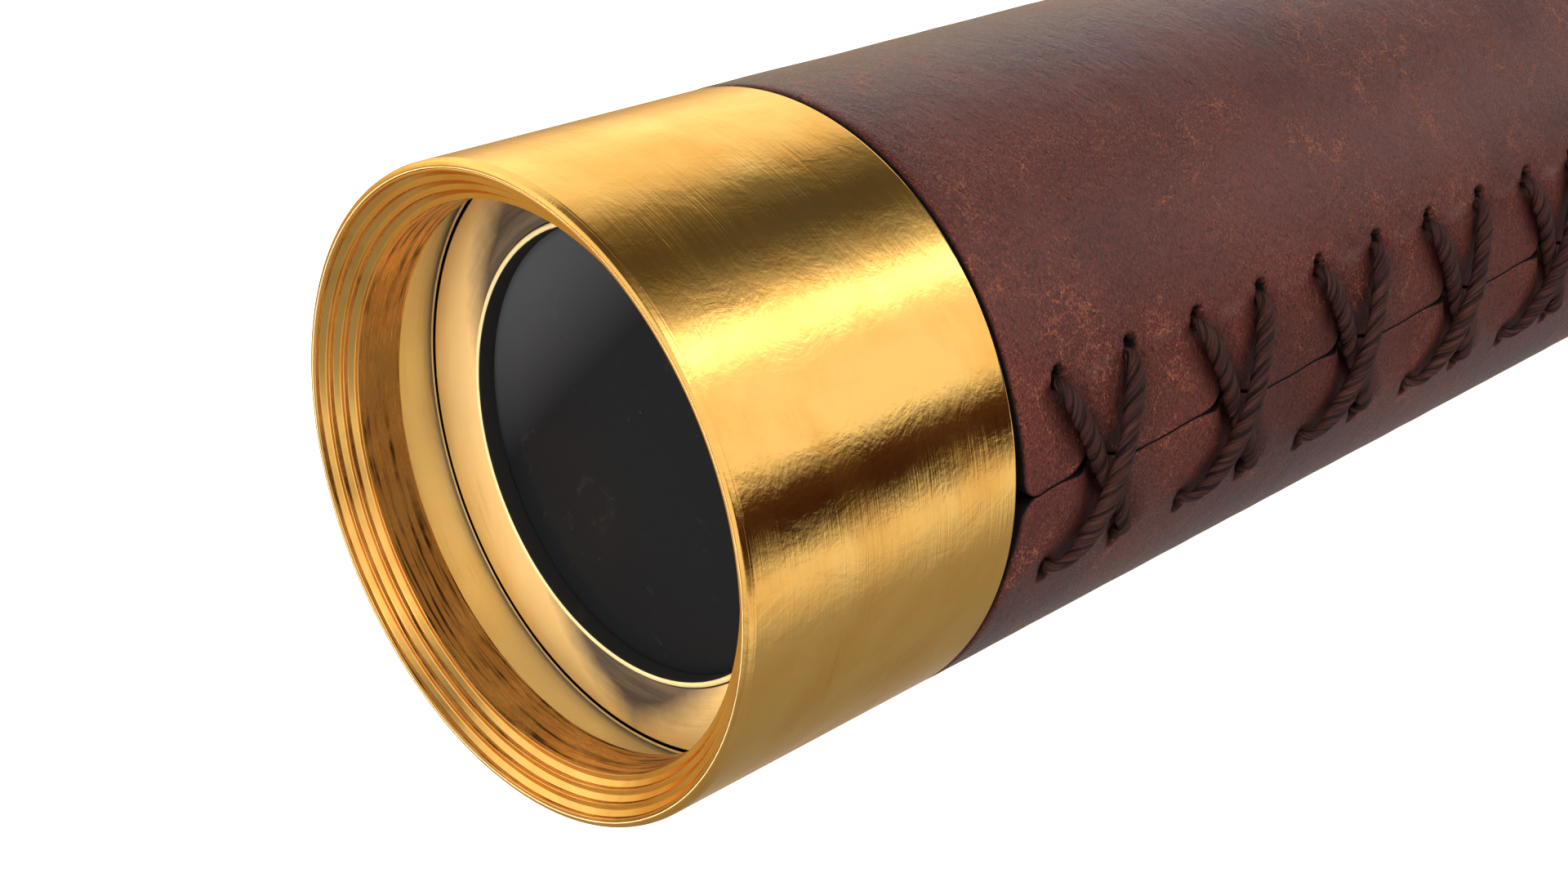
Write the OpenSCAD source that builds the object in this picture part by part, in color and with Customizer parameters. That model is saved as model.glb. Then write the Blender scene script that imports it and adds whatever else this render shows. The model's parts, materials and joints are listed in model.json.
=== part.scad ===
// A hand telescope: a leather-covered brass barrel and three brass draw tubes.
// The optical axis is the X axis. The origin is on the axis at the front rim,
// the eyepiece is towards +X, and +Z is up. The draws are drawn part-way out.

/* [Barrel] */
// Outside radius of the brass ferrules
barrel_r = 30; // [28:0.5:34]
// Length of the bare front ferrule
ferrule_len = 32; // [26:1:40]
// Wall of the front ferrule
ferrule_wall = 0.7; // [0.6:0.05:0.9]
// Wall of the main tube
main_wall = 1; // [0.8:0.1:1.4]
// Radius of the front bezel's bore
bezel_bore_r = 26; // [25:0.25:26.5]
// Depth of the front bezel ring
bezel_depth = 7.5; // [6:0.5:9]
// Width of the bezel's flat rim beside the ferrule's edge
bezel_lip = 0.3; // [0.2:0.05:0.6]
// Depth of the objective cell behind the front rim
cell_depth = 13.4; // [12.5:0.1:14]
// Clear radius of the objective
aperture_r = 21.4; // [20.5:0.1:21.8]

/* [Leather and lace] */
// Thickness of the leather
leather_t = 1.8; // [1.5:0.1:2]
// How far the leather stands back from the ferrules' radius
leather_recess = 0.05; // [0:0.05:0.3]
// Gap between the leather and each ferrule
leather_gap = 0.4; // [0.2:0.1:1]
// Width of the slit where the leather's edges meet
seam_gap = 0.4; // [0.2:0.1:0.8]
// Number of laced crosses
cross_count = 9; // [6:1:10]
// Distance between neighbouring lace holes
hole_pitch = 10.15; // [9:0.05:11]
// Distance from the leather's end to the first hole
hole_margin = 6.3; // [5:0.1:9]
// Angle from the seam to each row of holes
hole_angle = 19.6; // [15:0.2:24]
// Radius of each lace hole
hole_r = 1.05; // [1:0.05:1.3]
// Radius of the lace
lace_r = 0.95; // [0.8:0.05:1]

/* [Draw tubes] */
// Outside radius of the first draw tube
draw_r = 25; // [24.8:0.1:25.2]
// Step in radius from each draw to the next
draw_step = 3.4; // [3.2:0.1:3.6]
// Wall of each draw tube
draw_wall = 0.7; // [0.6:0.05:0.8]
// Full travel of each draw
travel = 150; // [140:1:150]
// How far out each draw stands at rest
rest_out = 50; // [20:1:80]
// Length of each guide bush
guide_len = 34; // [25:1:36]
// Length of each stop ring
stop_len = 8; // [5:1:10]
// Length of each draw's collar
collar_len = 14; // [12:1:16]
// How far each collar stands proud of its tube
collar_proud = 2.5; // [2:0.1:2.6]

/* [Eyepiece] */
// Outside radius of the eye cap
eye_cap_r = 16.5; // [16:0.5:18]
// Length of the eye cap
eye_cap_len = 13; // [10:1:16]
// Radius of the hole that the eye looks through
eye_hole_r = 3.6; // [3:0.1:4]
// Distance of the shutter's pivot from the axis
pivot_offset = 8.5; // [8.2:0.1:9]
// Radius of the shutter's disc
shutter_r = 4.6; // [4.2:0.1:4.8]
// Thickness of the shutter
shutter_t = 0.9; // [0.7:0.1:1.2]

/* [Hidden] */
$fn = 96;
fit = 0.05;                  // radial clearance of pieces pushed together
slip = 0.3;                  // clearance of pieces that pass each other
plate_t = 4;                 // end plate of each collar
ferrule_socket = 12;         // how far the front ferrule overlaps the main tube
bevel = 0.25;
film = 0.03;                 // gap between pieces that lie face to face

front_bore_r = barrel_r - ferrule_wall;
leather_r = barrel_r - leather_recess;
leather_in_r = leather_r - leather_t;
leather_edge = 0.4;
main_r = leather_in_r - fit;
main_in_r = main_r - main_wall;
main_x0 = ferrule_len - ferrule_socket;

leather_x0 = ferrule_len + leather_gap;
hole_x0 = leather_x0 + hole_margin;
hole_count = 2 * cross_count;
leather_x1 = hole_x0 + (hole_count - 1) * hole_pitch + hole_margin;
rear_x0 = leather_x1 + leather_gap;
rear_socket = 6;
rear_len = 22;
rear_x1 = rear_x0 + rear_len;
main_x1 = rear_x0 + rear_socket;

// Draw n = 1, 2, 3: its tube, its collar, and the guide bush that it runs in
function tube_r(n) = draw_r - (n - 1) * draw_step;
function tube_in_r(n) = tube_r(n) - draw_wall;
function around_r(n) = n == 1 ? main_in_r : tube_in_r(n - 1);
function collar_x0(n) = (n == 1 ? rear_x1 : collar_x0(n - 1) + collar_len) + slip + rest_out;
function plate_x(n) = collar_x0(n) + collar_len - plate_t;
function guide_x1(n) = n == 1 ? main_x1 - fit : plate_x(n - 1) - fit;
function guide_x0(n) = guide_x1(n) - guide_len;
function stop_x1(n) = guide_x0(n) - slip - (travel - rest_out);
function tube_x0(n) = stop_x1(n) - stop_len;

// Optics
ring_len = 2;
ring_proud = 0.15;
lens_r = aperture_r + 0.6;
cell_bore_r = lens_r + fit;
shoulder_r = aperture_r - 0.6;
cell_back_len = 2.5;
crown_edge_x = cell_depth + ring_len - ring_proud;
crown_front = 260;           // radii of curvature of the objective's faces
crown_back = 230;
crown_t = 5;
spacer_t = 0.4;
flint_t = 2.3;
crown_x = crown_edge_x - sag(crown_front, lens_r);
ring_x1 = crown_x + sag(crown_front, aperture_r) - film;    // the rings touch the lens at their bore
spacer_x = crown_x + crown_t - sag(crown_back, aperture_r) + film;
flint_x = spacer_x + spacer_t + film + sag(crown_back, lens_r);
flint_back_x = flint_x + flint_t;
cell_back_x = flint_back_x + cell_back_len;
lock_r = front_bore_r - 0.34;
lock_in_r = lock_r - 0.25;
lock_x1 = cell_depth + 1.5;

// Erector and eyepiece
eyepiece_x1 = collar_x0(3) + collar_len;
cap_x1 = eyepiece_x1 + eye_cap_len;
cap_face = 3.5;
inner_wall = 0.8;
erector_x0 = tube_x0(3) + 1;
erector_len = 66;
erector_x1 = erector_x0 + erector_len;
erector_r = 14;
erector_bore_r = erector_r - inner_wall;
erector_flange = 4;
erector_lens_t = 4;
erector_hole_r = 3;
cartridge_r = 14.6;
cartridge_bore_r = cartridge_r - inner_wall;
cartridge_x0 = eyepiece_x1 - 48;
field_stop_x = eyepiece_x1 - 20;
field_hole_r = 7;
eye_lens_r = 8;
eye_lens_seat = 4.5;
arm_r = 2.2;
screw_r = 0.9;
screw_depth = 3;

// Beads on the turned collars, and the length of the rear ferrule's end moulding
bead_r = 1.3;
band_depth = 0.5;
moulding = 3.6;

// Lace: heights of its centre line and its hidden ends
over_r = leather_r + 0.5;
under_r = leather_in_r + 0.62;
under_lift = 0.6;
over_lift = 2.4;
tail = 4;
lace_flat = 0.6;

// ---- helpers ----

// Depth of a spherical face of radius c at distance r from its axis
function sag(c, r) = c - sqrt(c * c - r * r);

// Points [r, x] of an arc in a profile, about [centre_r, centre_x]; angle 0 is +X
function arc(centre_r, centre_x, radius, from, to, steps = 8) =
    [for (i = [0:steps])
        let (a = from + (to - from) * i / steps)
        [centre_r + radius * sin(a), centre_x + radius * cos(a)]];

// A bead of outside radius r about x, on a band that lies depth below it: the part of
// the bead from the band to the end face when last, or from the end face to the band
function bead(r, x, depth, last) =
    let (foot = asin(1 - depth / bead_r))
    last ? arc(r - bead_r, x, bead_r, 180 - foot, 0) : arc(r - bead_r, x, bead_r, 180, foot);

// A solid turned about the X axis from a profile of [r, x] points
module turned(profile) {
    rotate([0, 90, 0])
        rotate_extrude()
            polygon(profile);
}

// A plain tube along X with bevelled outer corners
module tube(x0, x1, r_in, r_out, edge = 0.1) {
    turned([[r_in, x0], [r_out - edge, x0], [r_out, x0 + edge],
            [r_out, x1 - edge], [r_out - edge, x1], [r_in, x1]]);
}

// A lens between two spherical faces; a negative curvature is a hollow face, 0 a flat one
module lens(x, thick, rim_r, front_c, back_c, steps = 10) {
    function bulge(c, r) = c == 0 ? 0 : sign(c) * sag(abs(c), r);
    front = [for (i = [0:steps])
        let (r = rim_r * i / steps)
        [r, x + bulge(front_c, r)]];
    back = [for (i = [steps:-1:0])
        let (r = rim_r * i / steps)
        [r, x + thick - bulge(back_c, r)]];
    turned(concat(front, back));
}

// ---- objective end ----

module front_ferrule() {
    color("goldenrod")
        turned([[front_bore_r, 0], [barrel_r - bevel, 0], [barrel_r, bevel],
                [barrel_r, ferrule_len - bevel], [barrel_r - bevel, ferrule_len],
                [main_r + fit, ferrule_len], [main_r + fit, main_x0],
                [front_bore_r, main_x0]]);
}

// A funnel of three steps, then a smooth bore. Each step is a level tread, a slope of 45
// degrees and a flat facing forward.
module front_bezel() {
    outer = front_bore_r - fit;
    first_r = outer - bezel_lip;
    rise = (first_r - bezel_bore_r) / 3;
    run = 0.9 * rise;         // depth of one step, half of it tread and half slope
    tread = run / 2;
    stairs = [for (i = [0:2])
        let (r = first_r - i * rise, x = tread + i * run)
        each [[r, x], [r - tread, x + tread], [r - rise, x + tread]]];
    color("goldenrod")
        turned(concat([[outer, bezel_depth], [outer, film], [outer - film, 0], [first_r, 0]], stairs,
                      [[bezel_bore_r, bezel_depth]]));
}

// The threaded ring that holds the objective cell against its shoulder
module cell_lock_ring() {
    front_x = cell_depth - 0.1;
    flange_x = front_x + 0.6;
    color("goldenrod")
        turned([[lock_in_r, front_x], [lock_r, front_x], [lock_r, flange_x],
                [front_bore_r - fit, flange_x], [front_bore_r - fit, lock_x1],
                [lock_in_r, lock_x1]]);
}

module objective_cell() {
    neck_r = lock_in_r - fit;
    neck_bevel = 0.2;
    seat_x = lock_x1 + film;
    color("goldenrod")
        turned([[cell_bore_r, cell_depth], [neck_r - neck_bevel, cell_depth],
                [neck_r, cell_depth + neck_bevel], [neck_r, seat_x], [front_bore_r - fit, seat_x],
                [front_bore_r - fit, main_x0 - fit], [main_in_r - fit, main_x0 - fit],
                [main_in_r - fit, cell_back_x], [shoulder_r, cell_back_x],
                [shoulder_r, flint_back_x + film], [cell_bore_r, flint_back_x + film]]);
}

// A ring with a rounded front that holds the lenses down in the cell
module lens_ring() {
    half = (lens_r - aperture_r) / 2;
    color("gold")
        turned(concat(arc(aperture_r + half, crown_edge_x - ring_len + half, half, 270, 90),
                      [[lens_r, ring_x1], [aperture_r, ring_x1]]));
}

module crown_lens() {
    color("lightblue")
        lens(crown_x, crown_t, lens_r, crown_front, crown_back);
}

module lens_spacer() {
    color("dimgray")
        tube(spacer_x, spacer_x + spacer_t, aperture_r, lens_r, film);
}

module flint_lens() {
    color("lightblue")
        lens(flint_x, flint_t, lens_r, -crown_back, 0);
}

// ---- barrel ----

module main_tube() {
    color("darkgoldenrod")
        tube(main_x0, main_x1 - fit, main_in_r, main_r);
}

// Point at distance x along the barrel, angle a from the seam and radius r.
// The seam faces -Y, and its upper row of holes is at a positive angle.
function on_barrel(x, a, r) = [x, -r * cos(a), r * sin(a)];

function hole_x(i) = hole_x0 + i * hole_pitch;

module leather_sleeve() {
    color("saddlebrown")
        difference() {
            tube(leather_x0, leather_x1, leather_in_r, leather_r, leather_edge);
            translate([leather_x0 - 1, -leather_r - 1, -seam_gap / 2])
                cube([leather_x1 - leather_x0 + 2, 2 * leather_t + 1, seam_gap]);
            for (i = [0:hole_count - 1], side = [-1, 1])
                translate([hole_x(i), 0, 0])
                    rotate([90 - side * hole_angle, 0, 0])
                        cylinder(h = leather_r + 1, r = hole_r, $fn = 24);
        }
}

// The lace's centre line, as [x, angle from the seam, radius]. Each cross runs over the
// leather from the front upper hole to the rear lower one, behind the leather to the
// front lower hole, over the first strand to the rear upper hole, and behind to the next.
function over(i0, i1, side, lift, steps = 8) =
    [for (i = [0:steps])
        let (t = i / steps)
        [hole_x(i0) + (hole_x(i1) - hole_x(i0)) * t, side * hole_angle * (1 - 2 * t),
         over_r + lift * pow(sin(180 * t), 2)]];
function behind(x0, x1, side, steps = 3) =
    [for (i = [0:steps]) [x0 + (x1 - x0) * i / steps, side * hole_angle, under_r]];
function stitch(k) =
    let (front = 2 * k, rear = 2 * k + 1)
    concat(over(front, rear, 1, under_lift),
           behind(hole_x(rear), hole_x(front), -1),
           over(front, rear, -1, over_lift),
           behind(hole_x(rear), hole_x(rear) + (k == cross_count - 1 ? tail : hole_pitch), 1));
lace_route = concat(behind(hole_x(0) - tail, hole_x(0), 1),
                    [for (k = [0:cross_count - 1]) each stitch(k)]);

// One closed tube along the lace's route, flattened where the leather presses on it
module seam_lace() {
    sides = 8;
    last = len(lace_route) - 1;
    centres = [for (p = lace_route) on_barrel(p[0], p[1], p[2])];
    points = [for (i = [0:last])
        let (way = centres[min(i + 1, last)] - centres[max(i - 1, 0)],
             across = cross(way, on_barrel(0, lace_route[i][1], 1)),
             side = across / norm(across),
             up = cross(side, way / norm(way)),
             flat = lace_route[i][2] == under_r ? lace_flat : 1)
        each [for (j = [0:sides - 1])
            centres[i] + lace_r * (side * cos(360 * j / sides) + up * sin(360 * j / sides) * flat)]];
    walls = [for (i = [0:last - 1], j = [0:sides - 1])
        let (k = (j + 1) % sides, low = i * sides, high = low + sides)
        [low + j, low + k, high + k, high + j]];
    first_end = [[for (j = [sides - 1:-1:0]) j]];
    last_end = [[for (j = [0:sides - 1]) last * sides + j]];
    color("maroon")
        polyhedron(points, concat(first_end, walls, last_end));
}

module rear_ferrule() {
    groove_r = barrel_r - 0.7;
    color("goldenrod")
        turned(concat([[main_r + fit, rear_x0], [barrel_r - bevel, rear_x0],
                       [barrel_r, rear_x0 + bevel], [barrel_r, rear_x1 - moulding],
                       [groove_r, rear_x1 - moulding + 0.4]],
                      bead(barrel_r, rear_x1 - bead_r, barrel_r - groove_r, true),
                      [[draw_r + slip, rear_x1], [draw_r + slip, main_x1],
                       [main_r + fit, main_x1]]));
}

// ---- draws ----

// The bush that draw n runs in, pushed into the tube around it
module guide(n) {
    color("peru")
        tube(guide_x0(n), guide_x1(n), tube_r(n) + fit, around_r(n) - fit);
}

module draw_tube(n) {
    color("gold")
        tube(tube_x0(n), plate_x(n) - fit, tube_r(n) - draw_wall, tube_r(n));
}

// The ring on a draw's front end that stops it pulling out of its guide
module draw_stop(n) {
    color("darkgoldenrod")
        tube(tube_x0(n), stop_x1(n), tube_r(n) + fit, around_r(n) - slip, 0.3);
}

// A collar on the rear end of draw n, with a hole for what passes through it
module collar(n, hole) {
    x0 = collar_x0(n);
    x1 = x0 + collar_len;
    r = tube_r(n) + collar_proud;
    color("goldenrod")
        turned(concat([[tube_r(n) + fit, x0]],
                      bead(r, x0 + bead_r, band_depth, false),
                      bead(r, x1 - bead_r, band_depth, true),
                      [[hole, x1], [hole, plate_x(n)], [tube_r(n) + fit, plate_x(n)]]));
}

// ---- erector and eyepiece ----

module erector_tube() {
    flange_r = tube_in_r(3) - fit;
    color("darkgoldenrod")
        turned([[erector_bore_r, erector_x0], [flange_r, erector_x0],
                [flange_r, erector_x0 + erector_flange], [erector_r, erector_x0 + erector_flange],
                [erector_r, erector_x1], [erector_bore_r, erector_x1]]);
}

module erector_lens(x) {
    color("lightblue")
        lens(x, erector_lens_t, erector_bore_r - fit, 60, 90);
}

module field_lens() {
    color("lightblue")
        lens(cartridge_x0 + 1, 4, cartridge_bore_r - fit, 0, 45);
}

module eye_lens() {
    color("lightblue")
        lens(eyepiece_x1 - 1.5 - eye_lens_seat + 0.5, eye_lens_seat - 1.5, eye_lens_r, 0, 20);
}

// A disc with a small hole, across the inside of a tube
module stop_disc(x, rim_r, hole) {
    color("dimgray")
        tube(x, x + inner_wall, hole, rim_r, film);
}

module eyepiece_tube() {
    face_x = eyepiece_x1 - 1.5;
    color("darkgoldenrod")
        turned([[cartridge_bore_r, cartridge_x0], [cartridge_r, cartridge_x0],
                [cartridge_r, eyepiece_x1 - fit], [eye_lens_r - 1.5, eyepiece_x1 - fit],
                [eye_lens_r - 1.5, face_x], [eye_lens_r + fit, face_x],
                [eye_lens_r + fit, face_x - eye_lens_seat],
                [cartridge_bore_r, face_x - eye_lens_seat]]);
}

// A cup with a thick face; its flat rear side carries the shutter
module eye_cap() {
    x0 = eyepiece_x1 + film;
    corner = 1.4;
    skirt_r = eye_cap_r - 3;
    color("goldenrod")
        difference() {
            turned(concat([[skirt_r, x0], [eye_cap_r - bevel, x0], [eye_cap_r, x0 + bevel]],
                          arc(eye_cap_r - corner, cap_x1 - corner, corner, 90, 0, 6),
                          [[eye_hole_r + 1, cap_x1], [eye_hole_r, cap_x1 - 1],
                           [eye_hole_r, cap_x1 - cap_face], [skirt_r, cap_x1 - cap_face]]));
            translate([cap_x1 - screw_depth - film, pivot_offset, 0])
                rotate([0, 90, 0])
                    cylinder(h = screw_depth + 1, r = screw_r + film);
        }
}

// A disc on an arm that swings about the screw and covers the eye hole
module shutter() {
    color("gold")
        translate([cap_x1 + slip / 2, 0, 0])
            rotate([90, 0, 90])
                difference() {
                    linear_extrude(shutter_t) {
                        circle(r = shutter_r);
                        translate([pivot_offset, 0])
                            circle(r = arm_r);
                        translate([0, -arm_r * 0.8])
                            square([pivot_offset, arm_r * 1.6]);
                    }
                    translate([pivot_offset, 0, -1])
                        cylinder(h = shutter_t + 2, r = screw_r + fit);
                }
}

// A shouldered screw with a round head
module shutter_screw() {
    head_x = slip + shutter_t;
    color("silver")
        translate([cap_x1, pivot_offset, 0])
            rotate([0, 90, 0]) {
                translate([0, 0, -screw_depth])
                    cylinder(h = screw_depth + head_x, r = screw_r);
                translate([0, 0, head_x])
                    cylinder(h = 0.8, r1 = screw_r * 2, r2 = screw_r * 1.4);
            }
}

front_ferrule();
front_bezel();
cell_lock_ring();
objective_cell();
lens_ring();
crown_lens();
lens_spacer();
flint_lens();
main_tube();
leather_sleeve();
seam_lace();
rear_ferrule();
guide(1);  // barrel_guide
draw_tube(1);  // draw_tube_1
draw_stop(1);  // draw_stop_1
collar(1, tube_r(2) + slip);  // draw_collar_1
guide(2);  // draw_guide_1
draw_tube(2);  // draw_tube_2
draw_stop(2);  // draw_stop_2
collar(2, tube_r(3) + slip);  // draw_collar_2
guide(3);  // draw_guide_2
draw_tube(3);  // draw_tube_3
draw_stop(3);  // draw_stop_3
collar(3, cartridge_r + fit);  // eyepiece_collar
erector_tube();
erector_lens(erector_x0 + 1);  // erector_front_lens
stop_disc(erector_x0 + erector_len / 2, erector_bore_r - fit, erector_hole_r);  // erector_stop
erector_lens(erector_x1 - erector_lens_t - 1);  // erector_rear_lens
eyepiece_tube();
field_lens();
stop_disc(field_stop_x, cartridge_bore_r - fit, field_hole_r);  // field_stop
eye_lens();
eye_cap();
shutter();
shutter_screw();
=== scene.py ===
"""Looks for the hand telescope: brass lathe work, laced leather and glass around the CAD frame.

Everything is in metres in the row frame: the optical axis is X, the objective faces -X and
the laced seam faces -Y. A turned piece is the outline (x, r) of its metal, turned about X.
Texture scales are in marks per metre.
"""
import json
import math

import bpy
import numpy as np
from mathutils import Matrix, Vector, noise


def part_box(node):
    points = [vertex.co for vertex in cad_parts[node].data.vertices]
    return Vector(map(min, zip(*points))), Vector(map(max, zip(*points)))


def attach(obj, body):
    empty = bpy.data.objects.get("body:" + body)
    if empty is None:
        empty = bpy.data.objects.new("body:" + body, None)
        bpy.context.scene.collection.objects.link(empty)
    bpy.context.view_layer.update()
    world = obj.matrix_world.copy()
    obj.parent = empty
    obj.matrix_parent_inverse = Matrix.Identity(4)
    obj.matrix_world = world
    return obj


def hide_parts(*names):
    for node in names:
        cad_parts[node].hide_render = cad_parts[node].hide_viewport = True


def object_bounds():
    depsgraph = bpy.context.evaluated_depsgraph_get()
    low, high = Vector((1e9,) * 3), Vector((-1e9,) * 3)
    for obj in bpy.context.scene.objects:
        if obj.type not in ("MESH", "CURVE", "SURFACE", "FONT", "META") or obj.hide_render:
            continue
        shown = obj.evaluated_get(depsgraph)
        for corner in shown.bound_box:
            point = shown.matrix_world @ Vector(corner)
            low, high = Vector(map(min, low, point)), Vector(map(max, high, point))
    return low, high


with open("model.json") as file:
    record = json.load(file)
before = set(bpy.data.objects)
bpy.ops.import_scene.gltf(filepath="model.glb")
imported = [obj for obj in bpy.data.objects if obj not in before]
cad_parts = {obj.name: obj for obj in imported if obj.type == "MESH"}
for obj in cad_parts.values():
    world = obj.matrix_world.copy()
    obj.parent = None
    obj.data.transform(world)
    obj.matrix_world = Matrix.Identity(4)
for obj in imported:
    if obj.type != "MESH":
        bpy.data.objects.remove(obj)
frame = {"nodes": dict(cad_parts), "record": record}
CAD_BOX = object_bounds()
MM = 0.001
FULL_TURN = 2 * math.pi
FIT = 0.05 * MM                          # clearance between brass pieces that fit together
RIM_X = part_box("front_ferrule")[0].x
BARREL_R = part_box("front_ferrule")[1].z
TUBE_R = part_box("main_tube")[1].z
LEATHER_X0, LEATHER_X1 = (corner.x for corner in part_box("leather_sleeve"))
HOLE_MARGIN = 6.3 * MM                   # from the leather's front end to the first lace holes
HOLE_PITCH = 10.15 * MM
UPPER_ROW, LOWER_ROW = 9.3 * MM, -10.5 * MM        # measured round the leather from the seam
SUBPARTS = {s["node"]: s for s in frame["record"]["subparts"]}
BODY_OF = {node: body for body, nodes in frame["record"]["behaviour"]["bodies"].items() for node in nodes}
materials = {}


def add_object(name, data):
    thing = bpy.data.objects.new(name, data)
    bpy.context.scene.collection.objects.link(thing)
    return thing


# ---- camera, light and floor ----

def set_view():
    """Plain display colours, so that bright brass clips as it does on a catalogue picture."""
    bpy.context.scene.view_settings.view_transform = "Standard"


CAMERA_PLACE = (-3.4146, -4.6115, 2.7942)          # from the rim's centre, in barrel radii
CAMERA_TURN = (45.55, -24.55)                      # yaw from +X towards +Y, and pitch, in degrees
CAMERA_LENS = (50.83, 36)                          # focal length and sensor width, in millimetres


def make_camera():
    """A three-quarter view of the objective end."""
    place = Vector((RIM_X, 0, 0)) + BARREL_R * Vector(CAMERA_PLACE)
    yaw, pitch = (math.radians(turn) for turn in CAMERA_TURN)
    ahead = Vector((math.cos(yaw) * math.cos(pitch), math.sin(yaw) * math.cos(pitch), math.sin(pitch)))
    data = bpy.data.cameras.new("camera")
    data.lens, data.sensor_width = CAMERA_LENS
    data.clip_start = 1 * MM
    camera = add_object("camera", data)
    camera.location = place
    camera.rotation_mode = "QUATERNION"
    camera.rotation_quaternion = ahead.to_track_quat("-Z", "Y")
    bpy.context.scene.camera = camera


# Light of the studio round the X axis, as (degrees from straight up towards -Y, level or
# colour): a dark ceiling, then a strip light and a wall on the seam's side, a brown band under
# the horizon and a grey ground, and a warm wall on the other side
STUDIO = ((-180, 0.30), (-155, 0.34), (-130, (0.52, 0.42, 0.28)), (-105, (0.48, 0.36, 0.18)),
          (-93, (0.66, 0.52, 0.30)), (-81, (1.15, 1.05, 0.80)), (-69, 1.5), (-57, 1.28),
          (-37, 1.10), (-28, 0.8), (-20, 0.22), (-5, 0.075), (7, 0.095), (15, 0.26), (22, 0.60),
          (28, 1.5), (33, 2.7), (38, 2.7), (44, 1.4), (50, 1.12), (77, 1.10), (82, 0.40),
          (86, (0.07, 0.028, 0.020)), (100, (0.03, 0.011, 0.009)), (106, 0.26),
          (114, 1.0), (121, 0.92), (131, 0.58), (139, 0.36), (160, 0.33), (180, 0.31))

# A soft box in front of the objective lights the inside of its rim; metal mirrors it dimly.
# Its edge and its full strength are at these values of x in a ray's direction
FRONT_LIGHT, FRONT_MIRRORED = 6.4, 1.1
FRONT_EDGE, FRONT_FULL = -0.78, -0.92


def make_world():
    """The studio that lights and is mirrored by the telescope; the camera sees plain white."""
    world = bpy.data.worlds.new("studio")
    world.use_nodes = True
    bpy.context.scene.world = world
    tree = world.node_tree
    tree.nodes.clear()
    x, y, z = split_node(tree, tree.nodes.new("ShaderNodeTexCoord").outputs["Generated"])
    turn_at = times_add(tree, turn_node(tree, y, z), 1 / FULL_TURN, 0.5)
    colours = [(angle, level if isinstance(level, tuple) else (level,) * 3) for angle, level in STUDIO]
    top = max(max(colour) for _, colour in colours)
    stops = [((angle + 180) / 360, [c / top for c in colour]) for angle, colour in colours]
    levels = ramp_node(tree, turn_at, stops)
    ahead = level_node(tree, x, FRONT_EDGE, FRONT_FULL)
    light = tree.nodes.new("ShaderNodeBackground")
    light.inputs["Strength"].default_value = top
    path = tree.nodes.new("ShaderNodeLightPath")
    mirrored, bright = ((level / top,) * 3 for level in (FRONT_MIRRORED, FRONT_LIGHT))
    box = mix_node(tree, path.outputs["Is Diffuse Ray"], mirrored, bright)
    feed(tree, light.inputs["Color"], mix_node(tree, ahead, levels, box))
    white = tree.nodes.new("ShaderNodeBackground")
    white.inputs["Strength"].default_value = 1.0
    white.inputs["Color"].default_value = (1, 1, 1, 1)
    mix = tree.nodes.new("ShaderNodeMixShader")
    tree.links.new(path.outputs["Is Camera Ray"], mix.inputs[0])
    tree.links.new(light.outputs[0], mix.inputs[1])
    tree.links.new(white.outputs[0], mix.inputs[2])
    out = tree.nodes.new("ShaderNodeOutputWorld")
    tree.links.new(mix.outputs[0], out.inputs["Surface"])


def make_floor():
    """A pale floor under the barrel. It is kept out of the brass, which mirrors the studio."""
    half = 4.0
    z = CAD_BOX[0].z
    corners = [(x * half, y * half, z) for x, y in ((-1, -1), (1, -1), (1, 1), (-1, 1))]
    mesh = bpy.data.meshes.new("floor")
    mesh.from_pydata(corners, [], [(0, 1, 2, 3)])
    floor = add_object("floor", mesh)
    material, shader, _ = new_material("floor_white")
    shader.inputs["Base Color"].default_value = (0.85, 0.85, 0.85, 1)
    shader.inputs["Roughness"].default_value = 0.9
    shader.inputs["Emission Color"].default_value = (1, 1, 1, 1)
    shader.inputs["Emission Strength"].default_value = 1.0
    mesh.materials.append(material)
    floor.visible_glossy = False
    floor.visible_diffuse = False


# ---- node helpers ----

def new_material(name):
    material = bpy.data.materials.new(name)
    material.use_nodes = True
    tree = material.node_tree
    return material, tree.nodes["Principled BSDF"], tree


def feed(tree, socket, value):
    """Links a socket to another socket, or sets it to a number or a tuple."""
    if isinstance(value, bpy.types.NodeSocket):
        tree.links.new(value, socket)
    elif isinstance(value, (tuple, list)) and len(socket.default_value) == 4 and len(value) == 3:
        socket.default_value = (*value, 1)
    else:
        socket.default_value = value


def math_node(tree, operation, a, b=0.0, c=0.0):
    node = tree.nodes.new("ShaderNodeMath")
    node.operation = operation
    for socket, value in zip(node.inputs, (a, b, c)):
        feed(tree, socket, value)
    return node.outputs[0]


def times(tree, a, b):
    return math_node(tree, "MULTIPLY", a, b)


def times_add(tree, a, b, c):
    """a times b, plus c."""
    return math_node(tree, "MULTIPLY_ADD", a, b, c)


def split_node(tree, vector):
    """The x, y and z of a vector."""
    node = tree.nodes.new("ShaderNodeSeparateXYZ")
    feed(tree, node.inputs[0], vector)
    return list(node.outputs)


def hypot_node(tree, a, b):
    """The length of (a, b): with y and z, the distance from the axis."""
    square = times(tree, a, a)
    return math_node(tree, "SQRT", times_add(tree, b, b, square))


def turn_node(tree, y, z):
    """The angle round the axis from straight up towards -Y, in radians."""
    return math_node(tree, "ARCTAN2", times(tree, y, -1.0), z)


def attribute_node(tree, name):
    node = tree.nodes.new("ShaderNodeAttribute")
    node.attribute_name = name
    return node


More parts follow.
